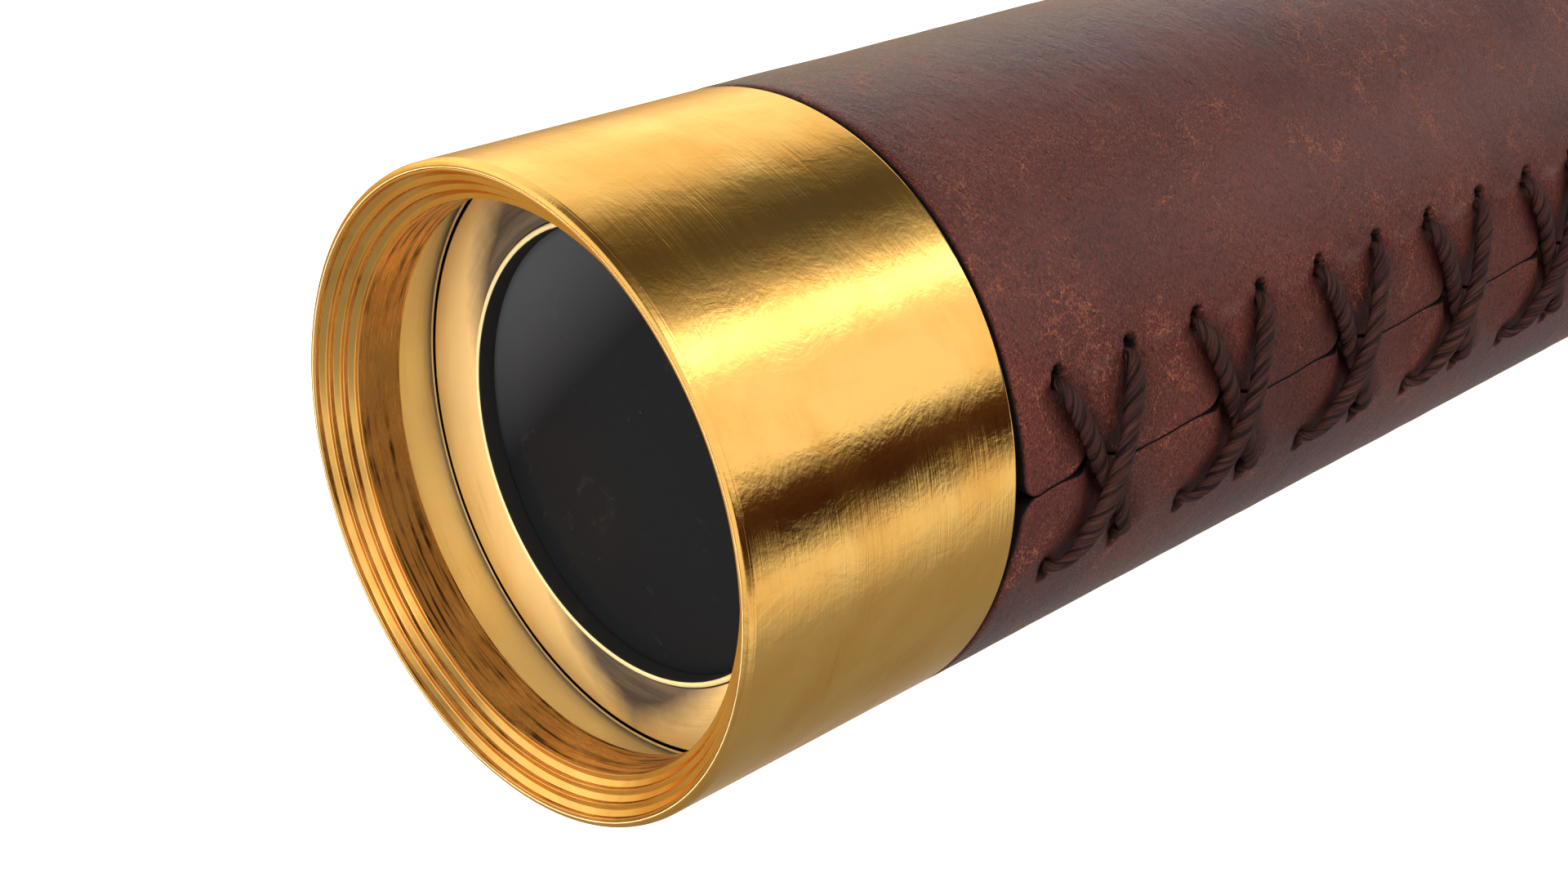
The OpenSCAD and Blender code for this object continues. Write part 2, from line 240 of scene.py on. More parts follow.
def ramp_node(tree, factor, stops):
    """A colour ramp with any number of stops, each (position, colour)."""
    node = tree.nodes.new("ShaderNodeValToRGB")
    ramp = node.color_ramp
    while len(ramp.elements) < len(stops):
        ramp.elements.new(0.5)
    for element, (position, colour) in zip(ramp.elements, stops):
        element.position = position
        element.color = (*colour, 1)
    feed(tree, node.inputs[0], factor)
    return node.outputs[0]


def level_node(tree, factor, low, high, out_low=0.0, out_high=1.0):
    """factor mapped from low..high to out_low..out_high, held at the ends."""
    node = tree.nodes.new("ShaderNodeMapRange")
    for socket, value in zip(node.inputs, (factor, low, high, out_low, out_high)):
        feed(tree, socket, value)
    return node.outputs[0]


def mix_node(tree, factor, a, b):
    node = tree.nodes.new("ShaderNodeMix")
    node.data_type = "RGBA"
    feed(tree, node.inputs["Factor"], factor)
    feed(tree, node.inputs["A"], a)
    feed(tree, node.inputs["B"], b)
    return node.outputs["Result"]


def scaled(tree, place, scale, shift=(0, 0, 0)):
    """A texture coordinate, scaled and shifted."""
    mapping = tree.nodes.new("ShaderNodeMapping")
    mapping.inputs["Scale"].default_value = scale
    mapping.inputs["Location"].default_value = shift
    tree.links.new(place, mapping.inputs[0])
    return mapping.outputs[0]


def place_node(tree, scale=(1, 1, 1), shift=(0, 0, 0)):
    """Position in the row frame, scaled and shifted."""
    return scaled(tree, tree.nodes.new("ShaderNodeTexCoord").outputs["Object"], scale, shift)


def turned_place_node(tree, across, along, shift=0.0):
    """A coordinate for marks that run round the axis: they change over 1/across metres
    across the cut, in x or in radius, and over 1/along metres along it."""
    x, y, z = split_node(tree, place_node(tree))
    cut = math_node(tree, "ADD", x, hypot_node(tree, y, z))
    join = tree.nodes.new("ShaderNodeCombineXYZ")
    feed(tree, join.inputs[0], times_add(tree, cut, across, shift))
    feed(tree, join.inputs[1], times(tree, y, along))
    feed(tree, join.inputs[2], times(tree, z, along))
    return join.outputs[0]


def noise_node(tree, place, scale=1.0, detail=3.0, rough=0.5, distortion=0.0, output="Fac"):
    node = tree.nodes.new("ShaderNodeTexNoise")
    feed(tree, node.inputs["Vector"], place)
    node.inputs["Scale"].default_value = scale
    node.inputs["Detail"].default_value = detail
    node.inputs["Roughness"].default_value = rough
    node.inputs["Distortion"].default_value = distortion
    return node.outputs[output]


def bump_node(tree, *layers):
    """Layers of bump on one another, each (height, strength, distance in millimetres)."""
    normal = None
    for height, strength, distance in layers:
        node = tree.nodes.new("ShaderNodeBump")
        node.inputs["Strength"].default_value = strength
        node.inputs["Distance"].default_value = distance * MM
        feed(tree, node.inputs["Height"], height)
        if normal is not None:
            feed(tree, node.inputs["Normal"], normal)
        normal = node.outputs[0]
    return normal


# ---- materials ----

# Linear colours: the brasses with their deeper patches, where the pale and cell copies are painted light
# and the bezel's copy is a painted reflection, then dirt, the painted shade of narrow gaps, hide, lace,
# paint, the painted shade on the cell, glass and steel
GOLD, GOLD_DEEP = (0.96, 0.56, 0.15), (0.90, 0.46, 0.10)
PALE_LIT, PALE_LIT_DEEP = (1.0, 0.82, 0.42), (0.97, 0.75, 0.34)
CELL_LIT, CELL_LIT_DEEP = (1.0, 0.75, 0.33), (0.96, 0.67, 0.26)
BEZEL_REFLECTED, BEZEL_REFLECTED_DEEP = (1.00, 0.46, 0.10), (0.80, 0.32, 0.06)
TARNISH, DEEP_TARNISH = (0.28, 0.15, 0.05), (0.08, 0.032, 0.010)
GAP_SHADE, GAP_SHADE_DEEP = (0.05, 0.03, 0.015), (0.02, 0.012, 0.008)
HIDE_DARK, HIDE_RED, HIDE_PIT = (0.084, 0.0195, 0.0155), (0.156, 0.035, 0.026), (0.022, 0.006, 0.006)
HIDE_RUST, HIDE_SHADE = (0.44, 0.138, 0.064), (0.002, 0.0015, 0.0015)
LACE_DARK, LACE_LIGHT, LACE_SHADE = (0.030, 0.0095, 0.0075), (0.105, 0.032, 0.023), (0.005, 0.002, 0.002)
BLACK_PAINT, RUBBED_PAINT = (0.018, 0.0175, 0.017), (0.05, 0.04, 0.025)
CELL_SHADE_DARK, CELL_SHADE_LIGHT = (0.10, 0.085, 0.066), (0.19, 0.15, 0.10)
GLASS_DARK, GLASS_PAINTED_TOP = (0.0085, 0.0090, 0.0098), (0.044, 0.045, 0.047)
GLASS_SMEAR, GLASS_DUST = (0.046, 0.043, 0.041), (0.05, 0.045, 0.04)
STEEL, STEEL_DEEP = (0.42, 0.41, 0.40), (0.25, 0.23, 0.21)
EDGE_TINT = (1.0, 0.88, 0.66, 1)         # brass stays warm where it is seen edge on
RUBBED_RISE, RUBBED_FALL = (0.98, 1.12), (1.50, 1.62)      # edges of the rubbed band, in radians
LENS_IOR = 1.52

# The painted shade on the objective cell reaches out to a radius that changes with the angle from the top:
# each pair is the radius at the top and its growth per radian
CELL_SHADE_NARROWING = (32.4 * MM, -7.6 * MM)
CELL_SHADE_LOW = (-6.6 * MM, 11.0 * MM)


def rubbed_node(tree):
    """Near 0 where a hand has rubbed the brush lines away, in a band over the seam; else 1."""
    _, y, z = split_node(tree, place_node(tree))
    turned = turn_node(tree, y, z)
    wander = noise_node(tree, place_node(tree, shift=(7, 7, 1)), 90, 3, 0.6)
    turned = times_add(tree, wander, 0.5, turned)
    rise = level_node(tree, turned, *RUBBED_RISE)
    fall = level_node(tree, turned, *RUBBED_FALL, 1, 0)
    return times_add(tree, times(tree, rise, fall), -0.9, 1.0)


def brass(name, tones=(GOLD, GOLD_DEEP), lengthwise=False, streaks=1.0, dents=1.0, rough=0.10,
          dirt=0.25, metal=1.0, scored=False):
    """Polished brass with fine brush lines round the axis, or along it when lengthwise, soft
    dents, wrinkles and thin tarnish. Dirt fills the deeper lines too when it is scored."""
    material, shader, tree = new_material(name)
    if lengthwise:
        fine = noise_node(tree, place_node(tree, (60, 4500, 4500)), 1, 2, 0.6)
        lines = noise_node(tree, place_node(tree, (25, 1200, 1200)), 1, 3, 0.7)
    else:
        fine = noise_node(tree, turned_place_node(tree, 5200, 110), 1, 2, 0.6)
        lines = noise_node(tree, turned_place_node(tree, 2100, 60, 7.0), 1, 3, 0.75)
    where = noise_node(tree, place_node(tree, shift=(3, 1, 2)), 70, 5, 0.6, 0.6)
    worn = level_node(tree, where, 0.42, 0.66)
    brushed = noise_node(tree, place_node(tree, shift=(1, 5, 4)), 95, 3, 0.6)
    brushed = level_node(tree, brushed, 0.40, 0.60, 0.25, 1.0)
    brushed = times(tree, brushed, rubbed_node(tree))
    lines_at = times(tree, level_node(tree, lines, 0.35, 0.65), brushed)
    low, high = (0.49, 0.55) if scored else (0.60 - 0.14 * dirt, 0.80 - 0.18 * dirt)
    around = level_node(tree, where, 0.38, 0.56) if scored else worn
    grime = times(tree, level_node(tree, lines, low, high), around)
    tone = mix_node(tree, times(tree, grime, dirt), mix_node(tree, worn, *tones),
                    DEEP_TARNISH if scored else TARNISH)
    feed(tree, shader.inputs["Base Color"], tone)
    shader.inputs["Metallic"].default_value = metal
    shader.inputs["Specular Tint"].default_value = EDGE_TINT
    shine = times_add(tree, lines_at, 0.07 * streaks, rough)
    shine = times_add(tree, worn, 0.05, shine)
    feed(tree, shader.inputs["Roughness"], shine)
    dent = noise_node(tree, place_node(tree), 210, 4, 0.6, 0.5)
    wrinkle = noise_node(tree, place_node(tree, shift=(9, 4, 7)), 1500, 3, 0.6, 0.8)
    fine_at = times(tree, level_node(tree, fine, 0.35, 0.65), brushed)
    normal = bump_node(tree, (dent, 0.46 * dents, 0.14), (wrinkle, 0.60 * dents, 0.016),
                       (lines_at, 0.8 * streaks, 0.012), (fine_at, 0.9 * streaks, 0.010))
    feed(tree, shader.inputs["Normal"], normal)
    return material


def cell_brass(name):
    """The pale brass of the objective cell, a lighter copy of the brass that is partly painted light, with
    painted shade in dull grey that is widest at the top of its face, narrows down beside the lens and
    widens again lower down."""
    material = brass(name, (CELL_LIT, CELL_LIT_DEEP), dents=0.9, rough=0.30, dirt=0.3, metal=0.5)
    tree = material.node_tree
    shader = tree.nodes["Principled BSDF"]
    unshaded = shader.inputs["Base Color"].links[0].from_socket
    _, y, z = split_node(tree, place_node(tree))
    turned = math_node(tree, "ABSOLUTE", math_node(tree, "ARCTAN2", y, z))
    marks = noise_node(tree, turned_place_node(tree, 900, 45), 1, 4, 0.7)
    blots = noise_node(tree, place_node(tree), 420, 4, 0.6)
    limits = [times_add(tree, turned, growth, at_top)
              for at_top, growth in (CELL_SHADE_NARROWING, CELL_SHADE_LOW)]
    limit = math_node(tree, "MAXIMUM", *limits)
    for unevenness, size in ((marks, 2.2 * MM), (blots, 1.2 * MM)):
        limit = times_add(tree, math_node(tree, "SUBTRACT", unevenness, 0.5), size, limit)
    within = math_node(tree, "SUBTRACT", limit, hypot_node(tree, y, z))
    # painted shade: dull grey mixed over the cell's face inside the limit radius
    cell_shade = level_node(tree, within, -1.2 * MM, 2.2 * MM)
    dull = mix_node(tree, level_node(tree, marks, 0.45, 0.65), CELL_SHADE_DARK, CELL_SHADE_LIGHT)
    feed(tree, shader.inputs["Base Color"], mix_node(tree, cell_shade, unshaded, dull))
    return material


def blackened_brass(name):
    """Matt black paint on brass, a little rubbed."""
    material, shader, tree = new_material(name)
    rub = level_node(tree, noise_node(tree, place_node(tree), 300, 4, 0.6), 0.6, 0.8)
    feed(tree, shader.inputs["Base Color"], mix_node(tree, rub, BLACK_PAINT, RUBBED_PAINT))
    shader.inputs["Roughness"].default_value = 0.75
    feed(tree, shader.inputs["Normal"], bump_node(tree, (rub, 0.2, 0.05)))
    return material


def lens_glass(name):
    """Bloomed optical glass over a blackened tube: nearly black, with painted light that makes it paler
    towards its upper +Y edge, and faint smears and dust."""
    material, shader, tree = new_material(name)
    smear = noise_node(tree, place_node(tree, shift=(2, 3, 1)), 160, 5, 0.7, 1.5)
    smear = level_node(tree, smear, 0.60, 0.80)
    dust = level_node(tree, noise_node(tree, place_node(tree), 1500, 3, 0.7), 0.70, 0.82)
    _, y, z = split_node(tree, place_node(tree))
    # painted light: the glass grows paler towards its upper +Y edge
    across = math_node(tree, "ADD", y, z)
    painted_top = level_node(tree, across, 0.40 * BARREL_R, 0.95 * BARREL_R)
    tone = mix_node(tree, painted_top, GLASS_DARK, GLASS_PAINTED_TOP)
    tone = mix_node(tree, times(tree, smear, 0.2), tone, GLASS_SMEAR)
    feed(tree, shader.inputs["Base Color"], mix_node(tree, dust, tone, GLASS_DUST))
    feed(tree, shader.inputs["Roughness"], times_add(tree, smear, 0.10, 0.25))
    shader.inputs["IOR"].default_value = LENS_IOR
    shader.inputs["Specular IOR Level"].default_value = 0.03
    return material


def hole_node(tree, hide, fray):
    """1 inside a lace hole, from the leather's flat coordinates, where the hole is painted shade: the holes
    are evenly spaced.
    """
    x, round_from_seam, _ = split_node(tree, hide)
    along = math_node(tree, "SUBTRACT", x, LEATHER_X0 + HOLE_MARGIN)
    along = math_node(tree, "PINGPONG", along, HOLE_PITCH / 2)
    rows = [math_node(tree, "ABSOLUTE", math_node(tree, "SUBTRACT", round_from_seam, row))
            for row in (UPPER_ROW, LOWER_ROW)]
    around = math_node(tree, "MINIMUM", *rows)
    away = times_add(tree, fray, 0.25 * MM, hypot_node(tree, around, along))
    return level_node(tree, away, 0.92 * MM, 1.02 * MM, 1, 0)


def crack_node(tree, body):
    """1 on a net of fine crooked cracks."""
    bent = tree.nodes.new("ShaderNodeVectorMath")
    bent.operation = "MULTIPLY_ADD"
    feed(tree, bent.inputs[0], noise_node(tree, body, 380, 4, output="Color"))
    bent.inputs[1].default_value = (6 * MM,) * 3
    feed(tree, bent.inputs[2], body)
    cells = tree.nodes.new("ShaderNodeTexVoronoi")
    cells.feature = "DISTANCE_TO_EDGE"
    feed(tree, cells.inputs["Vector"], bent.outputs[0])
    cells.inputs["Scale"].default_value = 150
    return level_node(tree, cells.outputs["Distance"], 0.006, 0.032, 1, 0)


def brown_leather(name):
    """Worn brown hide: fine grain drawn out round the barrel, rusty cracks and flecks where the finish has
    gone, painted shade in and around the lace holes, beside the lace, at the ends and on the seam's edges,
    and a waxy sheen."""
    material, shader, tree = new_material(name)
    hide = attribute_node(tree, "flat").outputs["Vector"]
    grain = noise_node(tree, scaled(tree, hide, (5200, 1800, 1)), 1, 3, 0.62, 0.7)
    fleck = noise_node(tree, scaled(tree, hide, (7500, 4000, 1), (3, 1, 0)), 1, 2, 0.6, 0.8)
    pores = noise_node(tree, scaled(tree, hide, (1500, 800, 1), (5, 2, 0)), 1, 3, 0.6)
    body = place_node(tree)
    clouds = noise_node(tree, body, 42, 5, 0.62, 0.3)
    patch = noise_node(tree, place_node(tree, shift=(0.3, 0.1, 0.7)), 75, 3, 0.6, 0.8)

    where = level_node(tree, patch, 0.485, 0.585)
    cracks = times(tree, crack_node(tree, body), where)
    cracks = times(tree, cracks, level_node(tree, fleck, 0.47, 0.55, 0.0, 1))
    where = level_node(tree, patch, 0.40, 0.60, 0.25, 0.9)
    flecks = times(tree, level_node(tree, fleck, 0.55, 0.67), where)
    rust = math_node(tree, "MAXIMUM", cracks, flecks)

    tone = mix_node(tree, level_node(tree, clouds, 0.35, 0.68), HIDE_DARK, HIDE_RED)
    tone = mix_node(tree, level_node(tree, grain, 0.34, 0.54, 0.85, 0.0), tone, HIDE_PIT)
    tone = mix_node(tree, rust, tone, HIDE_RUST)
    # painted shade: the depth attribute and the hole mask darken the holes, the leather beside the lace,
    # its ends, the seam's edges and its inside towards black
    depth = attribute_node(tree, "depth").outputs["Fac"]
    shade = math_node(tree, "MAXIMUM", depth, hole_node(tree, hide, pores))
    feed(tree, shader.inputs["Base Color"], mix_node(tree, shade, tone, HIDE_SHADE))
    shine = times_add(tree, level_node(tree, grain, 0.3, 0.7), 0.14, 0.15)
    shine = times_add(tree, shade, 0.5, shine)
    shine = times_add(tree, rust, 0.25, shine)
    feed(tree, shader.inputs["Roughness"], shine)
    shader.inputs["Specular IOR Level"].default_value = 0.165
    creases = noise_node(tree, scaled(tree, hide, (620, 330, 1), (8, 3, 0)), 1, 3, 0.55, 0.9)
    creases, pores, grain = (level_node(tree, relief, 0.3, 0.7) for relief in (creases, pores, grain))
    normal = bump_node(tree, (creases, 0.4, 0.22), (pores, 0.40, 0.08), (grain, 0.75, 0.06),
                       (rust, 0.8, 0.06))
    feed(tree, shader.inputs["Normal"], normal)
    return material


def brown_lace(name):
    """Dark waxed cord: fine fibres along each ply, with painted shade between the plies, in the hollows of
    the coarse relief and where it sinks into the holes.
    """
    material, shader, tree = new_material(name)
    fibre = attribute_node(tree, "fibre").outputs["Vector"]
    groove = attribute_node(tree, "groove").outputs["Fac"]
    strands = noise_node(tree, scaled(tree, fibre, (9500, 9500, 450)), 1, 2, 0.6)
    coarse = noise_node(tree, scaled(tree, fibre, (2400, 2400, 180), (1, 2, 3)), 1, 2, 0.5)
    tone = mix_node(tree, level_node(tree, strands, 0.35, 0.7), LACE_DARK, LACE_LIGHT)
    # painted shade: darker in the hollows of the coarse relief, between the plies and where the cord sinks
    # into the holes
    tone = mix_node(tree, level_node(tree, coarse, 0.36, 0.50, 0.7, 0), tone, LACE_SHADE)
    tone = mix_node(tree, level_node(tree, groove, 0.45, 1.0, 0, 0.95), tone, LACE_SHADE)
    feed(tree, shader.inputs["Base Color"], tone)
    feed(tree, shader.inputs["Roughness"], times_add(tree, coarse, 0.2, 0.5))
    shader.inputs["Specular IOR Level"].default_value = 0.2
    coarse, strands = (level_node(tree, relief, 0.3, 0.7) for relief in (coarse, strands))
    normal = bump_node(tree, (coarse, 1.0, 0.13), (strands, 0.9, 0.07))
    feed(tree, shader.inputs["Normal"], normal)
    return material


def screw_steel(name):
    """Dark polished steel with fine scratches."""
    material, shader, tree = new_material(name)
    marks = noise_node(tree, place_node(tree, (3000, 9000, 1200)), 1, 3, 0.6)
    tone = mix_node(tree, level_node(tree, marks, 0.4, 0.7), STEEL, STEEL_DEEP)
    feed(tree, shader.inputs["Base Color"], tone)
    shader.inputs["Metallic"].default_value = 1.0
    feed(tree, shader.inputs["Roughness"], times_add(tree, marks, 0.2, 0.2))
    feed(tree, shader.inputs["Normal"], bump_node(tree, (marks, 0.3, 0.02)))
    return material


def make_materials():
    """Every finish, under the name that its slot has in the record."""
    finishes = {
        "polished_brass": {},
        "turned_brass": dict(streaks=1.2, dents=0.25, rough=0.17, dirt=0.6),
        # painted reflection: worn_brass is an orange, less metallic copy of the brass for the bezel's faces
        # round the axis; dirt fills its scored lines
        "worn_brass": dict(tones=(BEZEL_REFLECTED, BEZEL_REFLECTED_DEEP), streaks=1.8, dents=0.3, rough=0.24, dirt=0.95,
                           scored=True, metal=0.6),
        # painted light: pale_brass is a paler, less metallic copy of the brass that lifts the inside faces
        # and the rings
        "pale_brass": dict(tones=(PALE_LIT, PALE_LIT_DEEP), dents=0.9, rough=0.30, dirt=0.3, metal=0.45),
        # painted shade: tarnished_brass is a nearly black brown for faces seen only in narrow gaps
        "tarnished_brass": dict(tones=(GAP_SHADE, GAP_SHADE_DEEP), rough=0.45),
        "draw_brass": dict(lengthwise=True, dents=0.3, dirt=0.15),
        "raw_brass": dict(rough=0.36, dirt=0.9),
    }
    for name, finish in finishes.items():
        materials[name] = brass(name, **finish)
    for make in (cell_brass, blackened_brass, lens_glass, brown_leather, brown_lace, screw_steel):
        materials[make.__name__] = make(make.__name__)


def dress_frame():
    """The CAD nodes that stay in view or inside get their slot's material; the main tube gets painted shade
    instead.
    """
    for name, node in frame["nodes"].items():
        node.data.materials.clear()
        node.data.materials.append(materials[SUBPARTS[name]["material_slot"]])
    # painted shade: the main tube, seen only in the gaps beside the leather, is nearly black brown
    frame["nodes"]["main_tube"].data.materials[0] = materials["tarnished_brass"]


# ---- lathe work ----

WALL = 0.7 * MM                          # thickness of the drums and the draw tubes
SLIP = 0.3 * MM                          # clearance round a draw tube that slides
LENS_GAP = 0.03 * MM                     # clearance beside the lock ring and the lenses


def rounded(points, radius, steps=4):
    """A closed profile of (x, r) with its corners rounded, and support points beside them.
    A point may carry its own radius as a third number; points on the axis stay sharp."""
    out = []
    count = len(points)
    for i, point in enumerate(points):
        here = Vector(point[:2])
        before, after = Vector(points[i - 1][:2]), Vector(points[(i + 1) % count][:2])
        size = point[2] if len(point) > 2 else radius
        to_before, to_after = before - here, after - here
        reach = min(size, to_before.length * 0.4, to_after.length * 0.4)
        if here.y < 1e-7 or reach < 1e-6:
            out.append(here)
            continue
        a, b = here + to_before.normalized() * reach, here + to_after.normalized() * reach
        if to_before.length > reach * 3:
            out.append(here + to_before.normalized() * reach * 1.25)
        for k in range(steps + 1):
            t = k / steps
            out.append(a * (1 - t) ** 2 + here * 2 * t * (1 - t) + b * t * t)
        if to_after.length > reach * 3:
            out.append(here + to_after.normalized() * reach * 1.25)
    return out


def bead_arc(x, r, radius, start, stop, steps=10):
    """Points of a round bead in a profile; angle 0 faces +X and 90 faces outwards."""
    turns = [math.radians(start + (stop - start) * k / steps) for k in range(steps + 1)]
    return [(x + radius * math.cos(a), r + radius * math.sin(a), 0) for a in turns]


def finish_mesh(name, verts, faces, material, body, replaced=(), sharp=40):
    """Makes the object, smooths it, rides it on its body and hides the CAD nodes that it stands for."""
    mesh = bpy.data.meshes.new(name)
    mesh.from_pydata(verts, [], faces)
    mesh.validate()
    mesh.polygons.foreach_set("use_smooth", [True] * len(mesh.polygons))
    mesh.set_sharp_from_angle(angle=math.radians(sharp))
    mesh.materials.append(material)
    piece = add_object(name, mesh)
    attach(piece, body)
    if replaced:
        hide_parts(*replaced)
    return piece


def revolve(profile, segments, ripple=None):
    """Vertices and faces of a closed (x, r) profile turned about X. ripple(x, angle, r)
    moves a point in or out. Points on the axis are one vertex each."""
    verts, rows = [], []
    for x, r in profile:
        if r < 1e-7:
            rows.append([len(verts)] * segments)
            verts.append((x, 0, 0))
            continue
        rows.append(list(range(len(verts), len(verts) + segments)))
        for k in range(segments):
            angle = FULL_TURN * k / segments
            reach = r + (ripple(x, angle, r) if ripple else 0)
            verts.append((x, reach * math.sin(angle), reach * math.cos(angle)))
    faces = []
    for a, b in zip(rows, rows[1:] + rows[:1]):
        for k in range(segments):
            m = (k + 1) % segments
            corners = [a[k], b[k], b[m], a[m]]
            kept = [c for n, c in enumerate(corners) if c != corners[n - 1]]
            if len(kept) >= 3:
                faces.append(kept)
    return verts, faces


def turn(name, node, profile, radius=0.12 * MM, segments=256, ripple=None, material=None):
    """A turned piece that stands for a CAD node, on the node's body and in its slot."""
    verts, faces = revolve(rounded(profile, radius), segments, ripple)
    row = SUBPARTS[node]
    finish = materials[material or row["material_slot"]]
    return finish_mesh(name, verts, faces, finish, BODY_OF[node], (node,))


def ends(node):
    """First x, last x and outer radius of a turned CAD node."""
    low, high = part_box(node)
    return low.x, high.x, high.z


def off_axis(face):
    return math.hypot(face.center.y, face.center.z)


def repaint(piece, finish, chosen):
    """Gives the chosen faces another finish; chosen tells whether a face is one of them."""
    piece.data.materials.append(materials[finish])
    index = len(piece.data.materials) - 1
    for face in piece.data.polygons:
        if chosen(face):
            face.material_index = index


# ---- objective end ----

def front_ferrule():
    """A thin drum with a rolled bead round its front rim, and a socket for the main tube."""
    x0, x1, r = ends("front_ferrule")
    inner = r - WALL
    socket_x, socket_r = ends("main_tube")[0], TUBE_R + FIT
    bead = [(x0, r - 0.52 * MM, 0.1 * MM), (x0 + 0.16 * MM, r - 0.14 * MM, 0.25 * MM),
            (x0 + 0.62 * MM, r, 0.2 * MM), (x0 + 0.70 * MM, r - 0.07 * MM, 0.02 * MM),
            (x0 + 0.82 * MM, r, 0.1 * MM)]
    drum = turn("ferrule_front", "front_ferrule", [(x0, inner, 0.05 * MM)] + bead
                + [(x1, r, 0.3 * MM), (x1, socket_r), (socket_x, socket_r), (socket_x, inner)])
    # painted light: the drum's inside takes the paler copy of the brass
    repaint(drum, "pale_brass", lambda face: off_axis(face) < inner + 0.1 * MM)


def front_bezel():
    """The funnel: three steps, each a worn tread, a slope and a flat that faces forwards."""
    x0, x1, r = ends("front_bezel")
    bore, steps = 26.0 * MM, 3
    step_r, step_x = (r - 0.3 * MM - bore) / steps, 0.92 * MM
    start, lip = x0 + 0.03 * MM, r - 0.25 * MM
    points = [(x1, r), (start, r), (start, lip)]
    for k in range(steps):
        x, top = start + k * step_x, lip - k * step_r
        points += [(x + 0.46 * MM, top - 0.02 * MM, 0.05 * MM), (x + step_x, top - 0.5 * MM, 0.1 * MM),
                   (x + step_x, top - step_r + 0.02 * MM, 0.09 * MM)]
    bezel = turn("bezel", "front_bezel", points + [(x1, bore)])
    # painted reflection: the faces round the axis take the orange copy of the brass
    repaint(bezel, "worn_brass", lambda face: abs(face.normal.x) < 0.3)


def blacken_inside(piece, radius):
    """Paints the faces within a radius of the axis dull black, as opticians do beside a lens."""
    repaint(piece, "blackened_brass", lambda face: off_axis(face) < radius)


def lock_ring():
    """A ring that shows as a thin bright line, with painted shade on its sides."""
    x0, x1, r = ends("cell_lock_ring")
    outer, inner = r - 0.29 * MM, r - 0.54 * MM
    crown, foot = x0 - 0.04 * MM, x0 + 0.6 * MM
    # painted light: the ring's front line takes the paler copy of the brass
    ring = turn("lock_ring", "cell_lock_ring",
                [(x0, inner, 0.05 * MM), (crown, (outer + inner) / 2, 0.1 * MM), (x0, outer, 0.05 * MM),
                 (foot, outer), (foot, r), (x1, r), (x1, inner)],
                radius=0.03 * MM, material="pale_brass")
    # painted shade: the ring's sides, down in the gap, are nearly black brown
    repaint(ring, "tarnished_brass", lambda face: face.center.x > x0 + 0.08 * MM)


def objective_cell():
    """The dished face round the lens, with a shallow groove at its foot."""
    x0, x1, r = ends("objective_cell")
    neck = ends("cell_lock_ring")[2] - 0.59 * MM
    bore = ends("lens_ring")[2] + FIT
    seat_x = ends("cell_lock_ring")[1] + LENS_GAP
    skirt_x, skirt_r = ends("main_tube")[0] - FIT, 27.05 * MM
    lens_back, ledge = ends("flint_lens")[1] + LENS_GAP, bore - 1.2 * MM
    dish = [(x0 + 0.14 * MM, bore, 0.1 * MM), (x0 + 0.03 * MM, bore + 1.6 * MM, 0.6 * MM),
            (x0 - 0.02 * MM, neck - 0.3 * MM, 0.2 * MM), (x0 + 0.2 * MM, neck)]
    cell = turn("objective_cell_face", "objective_cell",
                dish + [(seat_x, neck), (seat_x, r), (skirt_x, r), (skirt_x, skirt_r), (x1, skirt_r),
                        (x1, ledge), (lens_back, ledge), (lens_back, bore)], material="cell_brass")
    blacken_inside(cell, bore + 0.1 * MM)
    # painted shade: the faces past the neck, in the gap behind the lock ring, are nearly black brown
    repaint(cell, "tarnished_brass", lambda face: off_axis(face) > neck - 0.28 * MM)


def lens_ring():
    """A ring with a round front that holds the lenses in their cell."""
    x0, x1, r = ends("lens_ring")
    inner = r - 0.6 * MM
    middle, half = (r + inner) / 2, (r - inner) / 2
    # painted light: the ring takes the paler copy of the brass
    ring = turn("lens_holding_ring", "lens_ring",
                bead_arc(x0 + half, middle, half, 270, 90) + [(x1, r), (x1, inner)], radius=0.02 * MM,
                material="pale_brass")
    blacken_inside(ring, inner + 0.06 * MM)


# Radii of the lenses' front and back faces: 0 is flat, and a hollow face is below 0
CROWN_CURVES, FLINT_CURVES = (260 * MM, 230 * MM), (-230 * MM, 0)
EYE_LENS_CURVES = (0, 20 * MM)


def lens(name, node, front_curve, back_curve):
    """A lens between two spherical faces, in the box of its node."""
    x0, x1, r = ends(node)
    steps = 24

    def sag(curve, reach):
        return math.copysign(abs(curve) - math.sqrt(curve * curve - reach * reach), curve) if curve else 0

    start = x0 if front_curve >= 0 else x0 - sag(front_curve, r)
    stop = x1 if back_curve >= 0 else x1 + sag(back_curve, r)
    radii = [r * k / steps for k in range(steps + 1)]
    profile = [(start + sag(front_curve, q), q, 0) for q in radii]
    profile += [(stop - sag(back_curve, q), q, 0) for q in reversed(radii)]
    turn(name, node, profile)


def objective_end():
    front_ferrule()
    front_bezel()
    lock_ring()
    objective_cell()
    lens_ring()
    lens("objective_front_lens", "crown_lens", *CROWN_CURVES)
    lens("objective_back_lens", "flint_lens", *FLINT_CURVES)


# ---- draws, collars and eyepiece ----

BEAD_R = 1.3 * MM                        # the beads of the rear ferrule and of the collars
TEETH, TOOTH_DEPTH = 128, 0.22 * MM      # the milling of a collar


def milled(x, half_width, depth, teeth):
    """A ripple that cuts straight milling into a band about x."""
    def ripple(at, angle, _):
        if abs(at - x) > half_width:
            return 0
        edge = min(1, (half_width - abs(at - x)) / (0.25 * MM))
        return -depth * edge * (0.5 + 0.5 * math.cos(teeth * angle))
    return ripple


